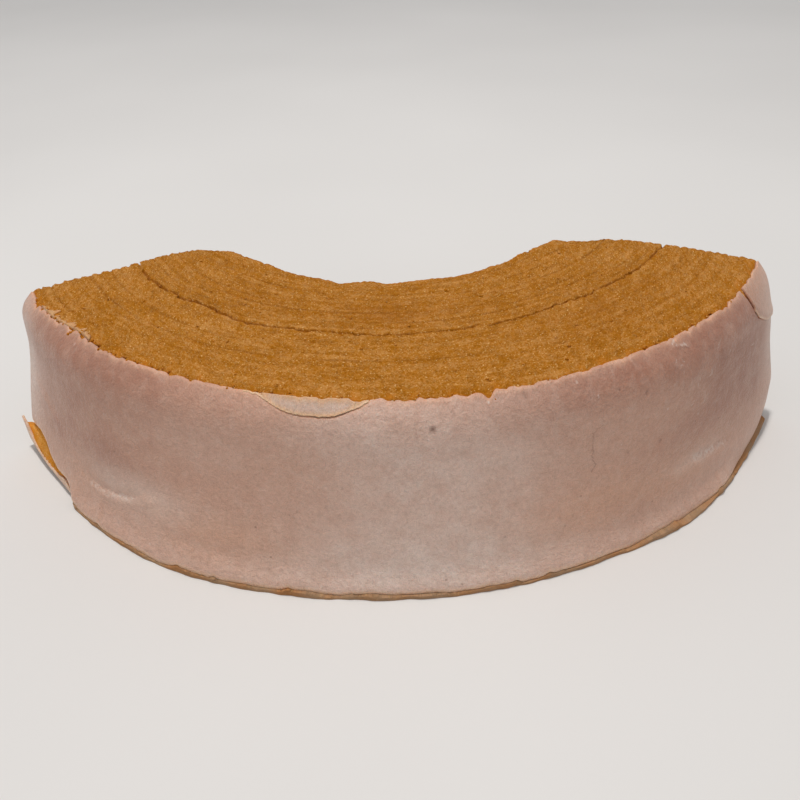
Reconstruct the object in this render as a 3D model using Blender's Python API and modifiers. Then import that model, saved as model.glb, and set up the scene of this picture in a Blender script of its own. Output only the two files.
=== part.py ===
# Baumkuchen: about a third of a ring, cut as a flat slice, with sugar glaze on its outer wall.
# Metres, +Z up. The origin lies on the base, half-way across the ring and half-way round it.
# The glazed outer wall faces -Y. Angles are degrees round the ring's axis, 0 at -Y and
# positive towards +X.

import math

import bmesh
import bpy
import numpy as np

mm = 0.001

# driving dimensions
height = 38.4 * mm
hole_radius = 46.2 * mm
rim_radius = 89.5 * mm  # the sponge at the cut top
wall_radius = 93.7 * mm  # the glaze just under the rounded upper edge
flare = 6.3 * mm  # how much further out the wall stands at the base
half_angle = 61.3
axis_y = 70.0 * mm  # the ring's axis stands this far behind the origin
layer = 2.0 * mm  # one baked layer of batter
glaze_thickness = 0.7 * mm
clearance = 0.35 * mm  # between pieces that touch
broken_gap = 0.45 * mm  # between the two sides of a crack in the glaze

# the wall's rounded edges: how far they come in, over what height
upper_edge = (3.5 * mm, 6.5 * mm)
lower_edge = (0.6 * mm, 3.0 * mm)

# swellings and hollows, in millimetres, each with its angle and its spread in degrees
foot_swells = [(1.2, -29, 13), (-1.3, -60, 10), (0.15, 58, 10)]
hole_swells = [(0.9, -14.7, 4), (1.0, -0.7, 4.5), (-0.8, 43, 13), (-0.6, -38, 12)]
layer_drift = [(-1.4, -62, 14), (0.7, -28, 6), (-0.5, -8, 7), (1.4, 62, 18)]
# the same with a height and a spread in millimetres, and the height's rise for each degree
wall_swells = [(0.3, 56, 14, 22, 7, 0), (0.9, 61, 12, 11.5, 4.5, 0), (-0.85, 61, 9, 34, 4, 0),
               (-0.5, -56, 18, 24, 10, 0), (-0.6, -61, 8, 27, 6.5, 0), (0.5, -61, 7, 36.5, 2.5, 0),
               (0.4, -61, 8, 12, 3.5, 0)]
creases = [(-0.5, -37, 7, 11, 2.6, 0.3), (-0.45, 39, 7, 14.5, 2.6, -0.3)]

# the sponge's relief
ridge = 0.16 * mm  # each layer stands up on the cut top
serration = 0.26 * mm  # and out of the two cut faces
crack = (68.3 * mm, 0.75 * mm, 5.0 * mm, 1.6 * mm)  # radius, half width, depth, depth at the ends
seam = (78.9 * mm, 0.6 * mm, 0.5 * mm, 0.4 * mm)  # a second, fainter parting
drift_reach = 12.0 * mm
hole_reach = 10.0 * mm  # how far the hole's unevenness works into the sponge
flare_reach = 13.0 * mm  # the outermost layers lean out with the wall

# inner corners: inside this radius the cut face turns away, by an angle, with a power
left_corner = (53.0 * mm, 9.0, 3.0)
right_corner = (62.0 * mm, 9.5, 1.7)

# edges of the glaze as angles and heights in millimetres
glaze_top = 38.25
glaze_foot = 1.0
crescent = [(-17.8, 37.6), (-16.2, 36.9), (-14.3, 36.4), (-11.8, 36.05), (-9.7, 35.95),
            (-8.1, 36.1), (-6.9, 36.65), (-5.8, 37.2), (-4.3, 37.6)]
scale_edge = [(51.2, 37.0), (51.7, 34.6), (53.1, 31.6), (57.3, 28.4), (61.3, 26.4)]
torn_edge = [(-61.3, 7.5), (-59.2, 8.0), (-56.2, 9.5), (-54.2, 8.5), (-53.2, 6.0),
             (-50.4, 5.0), (-48.3, 5.4), (-46.7, 3.8), (-45.7, 2.2), (-44.8, 1.0)]
# the peeled strip: its upper edge, and how far it stands off the wall
flake_top = [(-61.9, 8.6), (-61.0, 7.6), (-59.2, 4.2), (-56.7, 2.9), (-53.7, 2.5),
             (-48.7, 2.2), (-46.4, 1.6)]
flake_lean = [(-61.9, 2.3), (-59.2, 1.5), (-56.7, 1.1), (-50.0, 0.4), (-46.4, 0.1)]
flake_crumb = (-61.5, -56.5)  # from and to these angles crumb sticks to the strip

# how finely the solids are divided
levels = [0.0, 0.05, 0.15, 0.27, 0.39, 0.5, 0.61, 0.72, 0.82, 0.89, 0.945, 1.0]
sponge_columns = 40
glaze_columns = 62

collection = bpy.data.collections.new("baumkuchen")


def read(points, angle):
    """A height or a distance in metres, from a list of angles and millimetres."""
    return float(np.interp(angle, *zip(*points))) * mm


def bump(x, middle, spread):
    return math.exp(-((x - middle) / spread) ** 2)


def swell(swells, angle):
    return sum(size * bump(angle, middle, spread) for size, middle, spread in swells) * mm


def local_swell(swells, angle, z):
    total = 0.0
    for size, middle, spread, level, reach, rise in swells:
        level_here = level + rise * (angle - middle)
        total += size * bump(angle, middle, spread) * bump(z / mm, level_here, reach)
    return total * mm


def wall(angle, z):
    """The glaze's outer radius: a flared wall with rounded edges, swellings and creases."""
    low = min(1.0, max(0.0, 1.0 - z / height))
    radius = wall_radius + flare * low ** 1.2 + swell(foot_swells, angle) * low ** 1.5
    inset, reach = upper_edge
    radius -= inset * max(0.0, (z - height + reach) / reach) ** 2.2
    inset, reach = lower_edge
    radius -= inset * max(0.0, (reach - z) / reach) ** 2
    uneven = 0.22 * mm * math.sin(math.radians(7.3 * angle + 40)) * math.sin(120 * z + 0.05 * angle)
    return radius + local_swell(wall_swells + creases, angle, z) + uneven


def sponge_wall(angle, z):
    """The sponge's outer radius, behind the glaze by its thickness and the clearance."""
    step = 0.2 * mm
    slope = (wall(angle, z + step) - wall(angle, z - step)) / (2 * step)
    return wall(angle, z) - (glaze_thickness + clearance) * math.sqrt(1 + slope * slope)


def hole(angle, z):
    """The inner wall's radius, uneven where the cake left its roller."""
    return hole_radius + swell(hole_swells, angle) + 0.4 * mm * math.sin(130 * z + 0.09 * angle)


def tent(radius, parting):
    """1 at the middle of a parting between layers, 0 at its edges."""
    return max(0.0, 1.0 - abs(radius - parting[0]) / parting[1])


def ripple(radius):
    """1 at the middle of each layer and -1 between two layers."""
    return -math.cos(2 * math.pi * (radius - hole_radius) / layer)


def point(angle, radius, z):
    turn = math.radians(angle)
    return (radius * math.sin(turn), axis_y - radius * math.cos(turn), z)


def make_material(name, colour, roughness):
    material = bpy.data.materials.new(name)
    material.use_nodes = True
    shader = material.node_tree.nodes["Principled BSDF"]
    shader.inputs["Base Color"].default_value = (*colour, 1.0)
    shader.inputs["Roughness"].default_value = roughness
    shader.inputs["Metallic"].default_value = 0.0
    return material


def add_object(name, bm, material):
    bm.normal_update()
    mesh = bpy.data.meshes.new(name)
    bm.to_mesh(mesh)
    bm.free()
    mesh.materials.append(material)
    mesh.shade_smooth()
    mesh.set_sharp_from_angle(angle=math.radians(40))
    obj = bpy.data.objects.new(name, mesh)
    collection.objects.link(obj)
    return obj


def cut_block(*cuts):
    """A unit block from 0 to 1, cut across at the given places on each of its axes."""
    bm = bmesh.new()
    bmesh.ops.create_cube(bm, size=1.0)
    bmesh.ops.translate(bm, verts=bm.verts, vec=(0.5, 0.5, 0.5))
    for axis, places in enumerate(cuts):
        normal = [0.0, 0.0, 0.0]
        normal[axis] = 1.0
        for place in places:
            middle = [place * n for n in normal]
            everything = bm.verts[:] + bm.edges[:] + bm.faces[:]
            bmesh.ops.bisect_plane(bm, geom=everything, dist=1e-7, plane_co=middle, plane_no=normal)
    return bm


def sponge_radii():
    """Radii of the ridges and valleys across the cut top, with the two partings between."""
    radii = []
    for i in range(1, round((rim_radius - hole_radius) / (layer / 2))):
        radius = hole_radius + i * layer / 2
        if all(abs(radius - p[0]) > p[1] + 0.4 * mm for p in (crack, seam)):
            radii.append(radius)
    for middle, width, _, _ in (crack, seam):
        radii += [middle - width, middle, middle + width]
    return sorted(radii)


def sponge_point(radius, side, up):
    """A place in the sponge, from its ring, its way round from -1 to 1 and its level from 0 to 1."""
    # both cut faces are serrated, split at the partings and rounded at the inner corner
    start, turn, power = right_corner if side > 0 else left_corner
    turned = turn * max(0.0, (start - radius) / (start - hole_radius)) ** power
    opened = max(0.0, (up - 0.4) / 0.6)
    out = serration * ripple(radius)
    for parting in (crack, seam):
        out -= (out + parting[3] * opened) * tent(radius, parting)
    angle = side * (half_angle - turned + math.degrees(out / radius))

    # the top has a ridge for each layer, and the crack is roughest in its left third
    rough = 1 + (0.5 if angle < -20 else 0.25) * math.sin(1.7 * angle)
    top = height + ridge * ripple(radius) + 0.15 * mm * math.sin(0.09 * angle + radius / (9 * mm))
    for parting in (crack, seam):
        top -= (ridge + parting[2] * rough) * tent(radius, parting)
    top -= 0.35 * mm * (bump(radius, rim_radius, 0.8 * mm) + bump(radius, hole_radius, 0.8 * mm))
    z = up * top

    drift = swell(layer_drift, angle) * bump(radius, crack[0], drift_reach)
    near_wall = max(0.0, 1 - (rim_radius - radius) / flare_reach) ** 1.5
    near_hole = max(0.0, 1 - (radius - hole_radius) / hole_reach)
    radius += drift + near_wall * (sponge_wall(angle, z) - rim_radius)
    radius += near_hole * (hole(angle, z) - hole_radius)
    return point(angle, radius, z)


def build_sponge():
    span = rim_radius - hole_radius
    across = [(radius - hole_radius) / span for radius in sponge_radii()]
    bm = cut_block(across, np.linspace(0, 1, sponge_columns + 1)[1:-1], levels[1:-1])
    for vert in bm.verts:
        u, v, w = vert.co
        vert.co = sponge_point(hole_radius + u * span, 2 * v - 1, w)
    add_object("sponge", bm, make_material("baked sponge", (0.43, 0.17, 0.025), 0.85))


def rough_top(angle):
    """The glaze's upper edge, most broken towards the left end."""
    ragged = 0.08 + 0.15 * bump(angle, -50, 18)
    return (glaze_top + ragged * (math.sin(1.9 * angle) + 0.6 * math.sin(4.3 * angle) - 1.2)) * mm


def rough_foot(angle):
    return (glaze_foot + 0.25 * math.sin(0.9 * angle) + 0.17 * math.sin(2.6 * angle)) * mm


def main_top(angle):
    if crescent[0][0] <= angle <= crescent[-1][0]:
        return read(crescent, angle)
    if angle >= scale_edge[0][0]:
        return read(scale_edge, angle)
    return rough_top(angle)


def main_foot(angle):
    return read(torn_edge, angle) if angle <= torn_edge[-1][0] else rough_foot(angle)


def main_angles():
    """Even columns, with a column at each point of a broken edge and one just beside it."""
    beside = 0.6
    angles = list(np.linspace(-half_angle, half_angle, glaze_columns + 1))
    for edge in (crescent, scale_edge, torn_edge):
        first, last = edge[0][0] - beside, edge[-1][0] + beside
        angles = [a for a in angles if not first - beside < a < last + beside]
        angles += [a for a, _ in edge]
        angles += [a for a in (first, last) if abs(a) < half_angle]
    return sorted(angles)


def build_sheet(name, angles, rows, low, high, push):
    """A curved sheet on the wall from low(angle) to high(angle), pushed out by push(angle, t)."""
    bm = bmesh.new()
    columns, steps = len(angles) - 1, len(rows) - 1
    bmesh.ops.create_grid(bm, x_segments=columns, y_segments=steps, size=0.5)
    for vert in bm.verts:
        angle = angles[round((vert.co.x + 0.5) * columns)]
        t = rows[round((vert.co.y + 0.5) * steps)]
        z = low(angle) + t * (high(angle) - low(angle))
        vert.co = point(angle, wall(angle, z) + push(angle, t), z)
    obj = add_object(name, bm, make_material("sugar glaze", (0.42, 0.25, 0.19), 0.35))
    # the sheet's faces look outwards, so its thickness goes in towards the sponge
    solidify = obj.modifiers.new("thickness", "SOLIDIFY")
    solidify.thickness = glaze_thickness
    solidify.offset = -1.0
    solidify.use_even_offset = True


def build_glaze():
    build_sheet("glaze", main_angles(), levels, main_foot, main_top, lambda angle, t: 0.0)


def build_chip():
    """The sliver above the crescent crack, at the front of the upper edge."""
    build_sheet("glaze_chip", [a for a, _ in crescent], [0.0, 0.5, 1.0],
                lambda angle: read(crescent, angle) + broken_gap,
                lambda angle: rough_top(angle) + 0.25 * mm,
                lambda angle, t: (0.3 - 0.2 * t) * mm)


def build_scale():
    """The tongue of glaze at the right end, lifted along its lower left edge."""
    start = scale_edge[1][0] + math.degrees(broken_gap / wall_radius)
    build_sheet("glaze_scale", list(np.linspace(start, half_angle, 8)),
                [0.0, 0.15, 0.35, 0.6, 0.8, 0.92, 1.0],
                lambda angle: read(scale_edge, angle) + broken_gap,
                rough_top,
                lambda angle, t: (0.1 + 0.45 * (1 - t) ** 2) * mm)


def flake_foot(angle):
    return (0.6 + 1.6 * bump(angle, -62.5, 1.6)) * mm


def flake_push(angle, t):
    return read(flake_lean, angle) * (0.6 + 0.4 * t)


def build_flake():
    """The strip of glaze that has peeled off the foot of the left end."""
    angles = list(np.linspace(flake_top[0][0], flake_top[-1][0], 15))
    build_sheet("glaze_flake", angles, [0.0, 0.35, 0.7, 1.0], flake_foot,
                lambda angle: read(flake_top, angle), flake_push)


def build_flake_crumb():
    """Torn sponge that came away with the peeled strip and fills the gap behind it."""
    start, end = flake_crumb
    bm = cut_block(np.linspace(0, 1, 8)[1:-1], [], [0.35, 0.7])
    for vert in bm.verts:
        u, v, w = vert.co
        angle = start + u * (end - start)
        foot, strip_top = flake_foot(angle), read(flake_top, angle)
        low = foot + 0.4 * mm
        z = low + w * (min(strip_top - 0.5 * mm, read(torn_edge, angle) - 0.5 * mm) - low)
        strip = wall(angle, z) + flake_push(angle, (z - foot) / (strip_top - foot))
        inner = sponge_wall(angle, z) + 1.1 * clearance
        vert.co = point(angle, strip - glaze_thickness - 1.1 * clearance if v < 0.5 else inner, z)
    add_object("flake_sponge", bm, make_material("torn sponge", (0.60, 0.25, 0.03), 0.85))


def main():
    for obj in list(bpy.data.objects):
        bpy.data.objects.remove(obj, do_unlink=True)
    bpy.context.scene.collection.children.link(collection)
    build_sponge()
    build_glaze()
    build_chip()
    build_scale()
    build_flake()
    build_flake_crumb()


main()
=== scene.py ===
import math
import random

import bmesh
import bpy
import numpy as np
from mathutils import Euler, Matrix, Quaternion, Vector, noise
from mathutils.bvhtree import BVHTree


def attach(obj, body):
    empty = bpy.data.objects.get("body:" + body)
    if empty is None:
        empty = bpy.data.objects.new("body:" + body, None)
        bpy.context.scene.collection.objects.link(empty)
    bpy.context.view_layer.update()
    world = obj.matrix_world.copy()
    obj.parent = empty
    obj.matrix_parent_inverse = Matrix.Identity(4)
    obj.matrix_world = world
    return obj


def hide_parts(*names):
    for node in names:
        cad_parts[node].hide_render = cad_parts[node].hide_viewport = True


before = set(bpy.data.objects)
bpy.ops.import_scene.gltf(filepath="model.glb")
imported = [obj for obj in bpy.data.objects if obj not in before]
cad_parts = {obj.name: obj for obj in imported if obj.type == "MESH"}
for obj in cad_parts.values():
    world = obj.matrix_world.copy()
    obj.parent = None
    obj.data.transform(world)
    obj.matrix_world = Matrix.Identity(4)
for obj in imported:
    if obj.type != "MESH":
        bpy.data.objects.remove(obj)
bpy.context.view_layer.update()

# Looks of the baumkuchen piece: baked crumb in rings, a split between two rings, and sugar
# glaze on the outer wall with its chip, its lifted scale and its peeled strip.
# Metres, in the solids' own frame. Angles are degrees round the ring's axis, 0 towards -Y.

mm = 0.001

ring = {
    "axisY": 70.0 * mm,  # the ring's axis, behind the origin
    "height": 38.4 * mm,
    "holeRadius": 46.2,  # mm, as are the lengths below
    "rimRadius": 89.5,  # where the crumb ends at the cut top
    "layer": 2.0,  # one baked layer
    "endAngle": 61.3,  # degrees
    # how far the crack and the layers beside it stand further out, angle, spread
    "drift": [(-1.4, -62, 14), (0.7, -28, 6), (-0.5, -8, 7), (1.4, 62, 18)],
    "driftReach": 12.0,  # how far across the rings each is felt
    "flareReach": 13.0,
    "holeReach": 10.0,
}


# Places on the ring

def heading(angle):
    turn = math.radians(angle)
    return Vector((math.sin(turn), -math.cos(turn), 0.0))


def ringPoint(angle, radius, z):
    return Vector((0.0, ring["axisY"], z)) + heading(angle) * radius


def angleOf(point):
    return math.degrees(math.atan2(point.x, ring["axisY"] - point.y))


def radiusOf(point):
    return math.hypot(point.x, ring["axisY"] - point.y)


def arcOf(angle, radius=96):
    # mm along a circle of that radius, the coat's own if none is given
    return math.radians(angle) * radius


def layerAt(radius):
    # which baked layer a radius in mm lies in, counted from the hole
    return (radius - ring["holeRadius"]) / ring["layer"]


def hill(x, middle, spread):
    return math.exp(-((x - middle) / spread) ** 2)


def hills(swells, angle):
    return sum(size * hill(angle, middle, spread) for size, middle, spread in swells)


def ease(x, low, high):
    t = min(1.0, max(0.0, (x - low) / (high - low)))
    return t * t * (3 - 2 * t)


def wave(x, y=0.0, z=0.0, seed=0.0):
    return noise.noise(Vector((x + seed, y - 2 * seed, z + 0.37 * seed)))


# Shapes read off the solids

def nodeTree(name):
    bm = bmesh.new()
    bm.from_mesh(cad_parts[name].data)
    bmesh.ops.remove_doubles(bm, verts=bm.verts, dist=1e-6)
    tree = BVHTree.FromBMesh(bm)
    bm.free()
    return tree


def smoothed(samples, spread, axis):
    reach = int(3 * spread) + 1
    weights = np.exp(-0.5 * (np.arange(-reach, reach + 1) / spread) ** 2)
    weights /= weights.sum()
    widths = [(reach, reach) if i == axis else (0, 0) for i in range(samples.ndim)]
    padded = np.pad(samples, widths, mode="reflect", reflect_type="odd")
    return np.apply_along_axis(lambda line: np.convolve(line, weights, "valid"), axis, padded)


def gridReader(xs, ys, samples):
    stepX, stepY = xs[1] - xs[0], ys[1] - ys[0]
    rows = samples.tolist()

    def read(x, y):  # straight on past the last samples
        i = min(max(int((x - xs[0]) / stepX), 0), len(xs) - 2)
        j = min(max(int((y - ys[0]) / stepY), 0), len(ys) - 2)
        s, t = (x - xs[i]) / stepX, (y - ys[j]) / stepY
        near = rows[i][j] * (1 - t) + rows[i][j + 1] * t
        far = rows[i + 1][j] * (1 - t) + rows[i + 1][j + 1] * t
        return near * (1 - s) + far * s
    return read


def readRound(tree, startRadius, side):
    # how far from the ring's axis the sponge ends, out (side 1) or in (side -1)
    angles = np.arange(-60.0, 60.1, 0.5)
    heights = np.arange(0.4, 37.7, 0.6) * mm
    found = np.zeros((len(angles), len(heights)))
    for i, angle in enumerate(angles):
        for j, z in enumerate(heights):
            hit = tree.ray_cast(ringPoint(angle, startRadius, z), heading(angle) * side)[0]
            found[i, j] = radiusOf(hit)
    found = smoothed(smoothed(found, 1.2, 0), 1.5, 1)
    return gridReader(angles, heights, found)


def readCutFace(tree, side):
    # the angle at which the cut face stands, for each radius
    outer = side * ring["endAngle"]
    across = heading(outer + 90) * side
    radii, angles = [], []
    for radius in np.arange(46.8, 88.6, 0.3) * mm:
        start = ringPoint(outer, radius, 12 * mm) + across * 20 * mm
        hit = tree.ray_cast(start, -across)[0]
        if hit is not None:
            radii.append(radiusOf(hit))
            angles.append(abs(angleOf(hit)))
    order = np.argsort(radii)
    angles = smoothed(np.array(angles)[order], 5.0, 0)
    return lambda radius: float(np.interp(radius, np.array(radii)[order], angles))


def readSheet(name, step=0.25):
    # a glaze piece's lower and upper edge and its outer radius, column by column
    tree = nodeTree(name)
    corners = [angleOf(v.co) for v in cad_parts[name].data.vertices]
    angles = np.arange(min(corners) + 0.04, max(corners), step)
    lows, highs, radii = [], [], []
    scan = np.arange(-0.2, 39.0, 0.1) * mm
    for angle in angles:
        hits = []
        for z in scan:
            hit = tree.ray_cast(ringPoint(angle, 120 * mm, z), -heading(angle))[0]
            if hit is not None and radiusOf(hit) > 80 * mm:
                hits.append((z, radiusOf(hit)))
        if not hits:  # a sliver too thin to meet
            hits = [(lows[-1], radii[-1][0])] if lows else [(scan[0], 95 * mm)]
        heights, found = zip(*hits)
        lows.append(heights[0])
        highs.append(heights[-1])
        places = np.linspace(heights[0], heights[-1], 9)
        radii.append(np.interp(places, heights, found))
    return {
        "from": angles[0], "to": angles[-1],
        "low": lambda angle: float(np.interp(angle, angles, lows)),
        "high": lambda angle: float(np.interp(angle, angles, highs)),
        "radius": gridReader(angles, np.linspace(0, 1, 9), np.array(radii)),
    }


spongeTree = nodeTree("sponge")
spongeWall = readRound(spongeTree, 80 * mm, 1)
holeWall = readRound(spongeTree, 60 * mm, -1)
cutFaces = {1: readCutFace(spongeTree, 1), -1: readCutFace(spongeTree, -1)}
coatSheet = readSheet("glaze", 0.2)
chipSheet = readSheet("glaze_chip", 0.1)
scaleSheet = readSheet("glaze_scale", 0.1)
stripSheet = readSheet("glaze_flake", 0.2)
print("shapes read off the solids")


rim = {  # the coat's face and its edges, uneven places as mm, angle and spread
    "bare": [(0.6, -57, 1.5), (0.45, -5.8, 1.2), (0.35, -1, 2.5), (0.28, 5, 4.0), (0.8, 8.9, 0.6),
             (0.35, 45.8, 1.2), (0.25, 56, 1.0)],  # the coat has broken away this far down
    "curl": [(1.1, -46, 4.0), (0.35, -30, 10), (0.7, 27, 7), (0.3, 38, 5)],  # its edge comes in
    "curlReach": 4.5,  # mm below the cut
    "coatOut": 1.05,  # mm from the crumb's wall to the coat's face
    "footEnd": (41, 48),  # angles over which the flare of the foot ends on the right
    "tuck": (0.8, 43, 53, 4),  # mm the foot draws in there, both angles, height in mm
    "ragged": 0.36,  # mm, its upper edge
    "raggedLeft": 0.5,  # more of it on the left
}


def coatRadius(angle, z):
    # the glaze's outer face: the crumb's wall and the coat over it
    slope = (spongeWall(angle, z + 0.3 * mm) - spongeWall(angle, z - 0.3 * mm)) / (0.6 * mm)
    top = ring["height"] / mm
    curled = hills(rim["curl"], angle) * ease(z / mm, top - rim["curlReach"], top) ** 2
    depth, start, end, reach = rim["tuck"]
    curled += depth * ease(angle, start, end) * hill(z / mm, 0, reach)
    return spongeWall(angle, z) + (rim["coatOut"] * math.sqrt(1 + slope * slope) - curled) * mm


def coatMissing(angle):
    # mm from the cut down to the coat's broken upper edge
    arc = arcOf(angle, 90)
    ragged = rim["ragged"] + rim["raggedLeft"] * ease(-angle, 25, 50)
    broken = wave(arc / 2.3, seed=51) + 0.7 * wave(arc / 0.9, seed=53)
    return max(0.03, hills(rim["bare"], angle) + ragged * (broken + 0.15))


def coatTop(angle):
    return ring["height"] - coatMissing(angle) * mm


# Materials

def linearColour(code):
    channels = [int(code[i:i + 2], 16) / 255 for i in (1, 3, 5)]
    linear = [c / 12.92 if c <= 0.04045 else ((c + 0.055) / 1.055) ** 2.4 for c in channels]
    return (*linear, 1.0)


def setInputs(tree, node, links):
    # links: a socket or a value for each input
    for key, value in links.items():
        if isinstance(value, bpy.types.NodeSocket):
            tree.links.new(value, node.inputs[key])
        else:
            node.inputs[key].default_value = value


def addNode(tree, kind, links=None, stops=(), **settings):
    node = tree.nodes.new("ShaderNode" + kind)
    for key, value in settings.items():
        setattr(node, key, value)
    setInputs(tree, node, links or {})
    if stops:
        ramp = node.color_ramp.elements
        while len(ramp) < len(stops):
            ramp.new(0.5)
        for element, (place, code) in zip(ramp, stops):
            element.position, element.color = place, linearColour(code)
    return node


def attribute(tree, name, output="Vector"):
    return addNode(tree, "Attribute", attribute_name=name).outputs[output]


def calculate(tree, operation, *values, clamp=False):
    return addNode(tree, "Math", dict(enumerate(values)), operation=operation,
                   use_clamp=clamp).outputs[0]


def calculateVector(tree, operation, links, output="Vector"):
    return addNode(tree, "VectorMath", links, operation=operation).outputs[output]


def axes(tree, vector):
    return addNode(tree, "SeparateXYZ", {0: vector}).outputs


def addShares(tree, total, *parts):
    # each part times its share, on top of the first total
    for part, share in parts:
        total = calculate(tree, "MULTIPLY_ADD", part, share, total)
    return total


def remap(tree, value, start, end, low, high):
    # start becomes low, end becomes high, and it stays there beyond them
    links = {"Value": value, "From Min": start, "From Max": end, "To Min": low, "To Max": high}
    return addNode(tree, "MapRange", links).outputs[0]


def noiseField(tree, place, scale, detail=2.0, distortion=0.0):
    links = {"Vector": place, "Scale": scale, "Detail": detail, "Roughness": 0.6,
             "Distortion": distortion}
    return addNode(tree, "TexNoise", links).outputs["Fac"]


def poreDots(tree, place, look, reach, strength):
    # soft round dots, one in each cell, and the cells' random colours
    cells = addNode(tree, "TexVoronoi", {"Vector": place, "Scale": 1 / look["poreSpacing"]}).outputs
    size = look["poreSize"] / look["poreSpacing"]
    dots = remap(tree, cells["Distance"], 0.4 * size, reach * size, strength, 0.0)
    return dots, cells["Color"]


def blend(tree, factor, base, code):
    return addNode(tree, "Mix", {"Factor": factor, "A": base, "B": linearColour(code)},
                   data_type="RGBA").outputs["Result"]


def bumped(tree, height, depth, strength):
    links = {"Height": height, "Distance": depth * mm, "Strength": strength}
    return addNode(tree, "Bump", links).outputs[0]


def newMaterial(name):
    material = bpy.data.materials.new(name)
    material.use_nodes = True
    return material, material.node_tree, material.node_tree.nodes["Principled BSDF"]


crumbLook = {
    "mustard": "#935808",  # the low, dense crumb
    "golden": "#A96A15",
    "tan": "#C38A4A",  # clumps and curled strands that stand up
    "poreShadeAndSkin": "#7C4508",  # painted shade in the pores, and the browned skin between two layers
    "paintedGlint": "#ECC283",  # painted highlight: pale glints, as on moist sugar
    "footShadow": "#AD8A6B",  # painted shadow: greyish brown on the crumb's foot, for the shaded band under the coat's lower edge
    "orange": "#C2741A",  # freshly torn or next to the glaze
    "skinAndShade": "#8C4D0B",  # baked against the roller and the inside of the split, there also painted shade; and painted shade on darker places of the cut
    "fibre": (0.58, 0.7, 0.6),  # mm across the rings, along them and up
    "strand": (1.1, 1.3, 1.1),  # the same for the pale curled strands
    "band": (1.5, 16.0, 3.0),  # the same for streaks that follow the layers
    "skinBreaks": (2.0, 5.0, 5.0),  # the same for gaps in the skin between two layers
    "blotch": 3.2,  # mm
    "tuft": 1.9,  # mm, where strands stand up
    "wobble": 3.0,  # mm, how the layers waver
    "poreSpacing": 2.4,  # mm
    "poreSize": 0.17,  # mm
    "roughness": 0.7,
    "wetRoughness": 0.35,  # of the glints
}


def makeCrumb(name, look):
    # Sponge of egg, butter and flour baked layer on layer, then cut. Moist and open, so the eye
    # gets a matt golden ground, pale curled strands, pores darkened with painted shade and now and
    # then a painted glint.
    material, tree, shader = newMaterial(name)
    place = attribute(tree, "crumbPlace")
    footShadow = attribute(tree, "crumbFootShadow", "Fac")
    tones = axes(tree, attribute(tree, "crumbTone"))
    radius = axes(tree, place)["X"]

    def stretched(sizes):
        scales = [1 / size for size in sizes]
        return addNode(tree, "Mapping", {"Vector": place, "Scale": scales}).outputs[0]

    # ground: fine fibres, clumps, and streaks along the layers
    mixed = addShares(tree, 0.0,
                      (noiseField(tree, stretched(look["fibre"]), 1.0, 2.0, 1.6), 0.5),
                      (noiseField(tree, place, 1 / look["blotch"], 3.0), 0.24),
                      (noiseField(tree, stretched(look["band"]), 1.0, 3.0), 0.26))
    ground = [(0.40, look["mustard"]), (0.49, look["golden"]), (0.6, look["tan"])]
    colour = addNode(tree, "ValToRGB", {"Fac": mixed}, ground).outputs["Color"]

    # pale strands run along the middle level of a noise field, here and there
    curl = noiseField(tree, stretched(look["strand"]), 1.0, 1.0, 2.2)
    offCurl = calculate(tree, "ABSOLUTE", calculate(tree, "SUBTRACT", curl, 0.5))
    some = remap(tree, noiseField(tree, place, 1 / look["tuft"]), 0.4, 0.6, 0.0, 0.85)
    strand = calculate(tree, "MULTIPLY", remap(tree, offCurl, 0.0, 0.075, 1.0, 0.0), some)
    colour = blend(tree, strand, colour, look["tan"])

    # small open pores, darkened with painted shade
    poreShade = poreDots(tree, place, look, 1.7, 0.6)[0]
    colour = blend(tree, poreShade, colour, look["poreShadeAndSkin"])

    # thin browned skin between two layers, as plain as the piece says and broken along the ring
    firstLayer = -ring["holeRadius"] / ring["layer"] - 0.17
    wobble = noiseField(tree, place, 1 / look["wobble"], 3.0)
    layers = addShares(tree, firstLayer, (radius, 1 / ring["layer"]), (wobble, 0.34))
    line = remap(tree, calculate(tree, "PINGPONG", layers, 0.5), 0.0, 0.24, 0.9, 0.0)
    broken = noiseField(tree, stretched(look["skinBreaks"]), 1.0, 4.0)
    for share in (remap(tree, broken, 0.38, 0.6, 0.15, 0.8), tones["Z"]):
        line = calculate(tree, "MULTIPLY", line, share)
    colour = blend(tree, line, colour, look["poreShadeAndSkin"])

    # the roller's skin with painted shade in the split and on darker places, fresh tears, the
    # painted shadow colour on the foot, then painted glints over everything
    for factor, shade in ((tones["Y"], "skinAndShade"), (tones["X"], "orange"), (footShadow, "footShadow")):
        colour = blend(tree, factor, colour, look[shade])
    glintMask = remap(tree, noiseField(tree, stretched(look["fibre"]), 1.5, 1.0), 0.64, 0.72, 0.0, 0.7)
    spots = calculate(tree, "MULTIPLY", glintMask, calculate(tree, "SUBTRACT", 1.0, tones["Y"]))
    height = addShares(tree, mixed, (line, -0.3), (poreShade, -0.3), (strand, 0.25))
    setInputs(tree, shader, {
        "Base Color": blend(tree, spots, colour, look["paintedGlint"]),
        "Roughness": remap(tree, spots, 0.0, 1.0, look["roughness"], look["wetRoughness"]),
        "Normal": bumped(tree, height, 0.6, 0.75),
        "Specular IOR Level": 0.05, "Subsurface Weight": 0.1,
        "Subsurface Radius": (1.0, 0.45, 0.15), "Subsurface Scale": 0.6 * mm,
    })
    return material


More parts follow.
